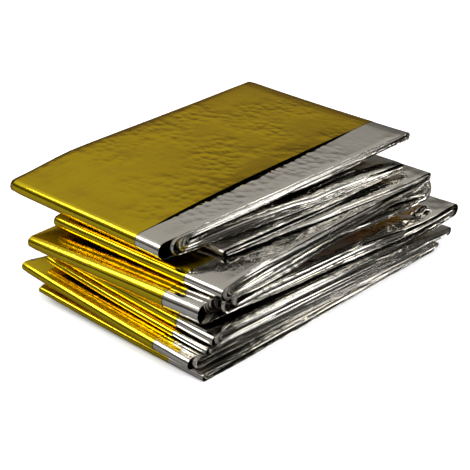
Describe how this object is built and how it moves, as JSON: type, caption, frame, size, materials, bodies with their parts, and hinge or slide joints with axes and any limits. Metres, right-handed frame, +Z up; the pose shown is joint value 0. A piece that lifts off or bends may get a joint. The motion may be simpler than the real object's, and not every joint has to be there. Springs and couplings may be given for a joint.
{
  "type": "emergency foil blanket",
  "caption": "Rescue blanket of thin metallised film, gold on one side and silver on the other, pleated into a strip and folded back and forth into a loose pack.",
  "frame": {"origin": "middle of the base's outline, on the surface the pack lies on", "axes": "+X along the panels, from the gold folds to the loose right ends; +Y across the strip, from its silver side to its gold side; +Z up"},
  "size_m": [0.1548, 0.116, 0.0456],
  "materials": {
    "gold_foil": "mirror-bright metallised film, gold outside and silver inside"
  },
  "bodies": {
    "root": {"foil_blanket": "gold_foil"}
  },
  "joints": []
}
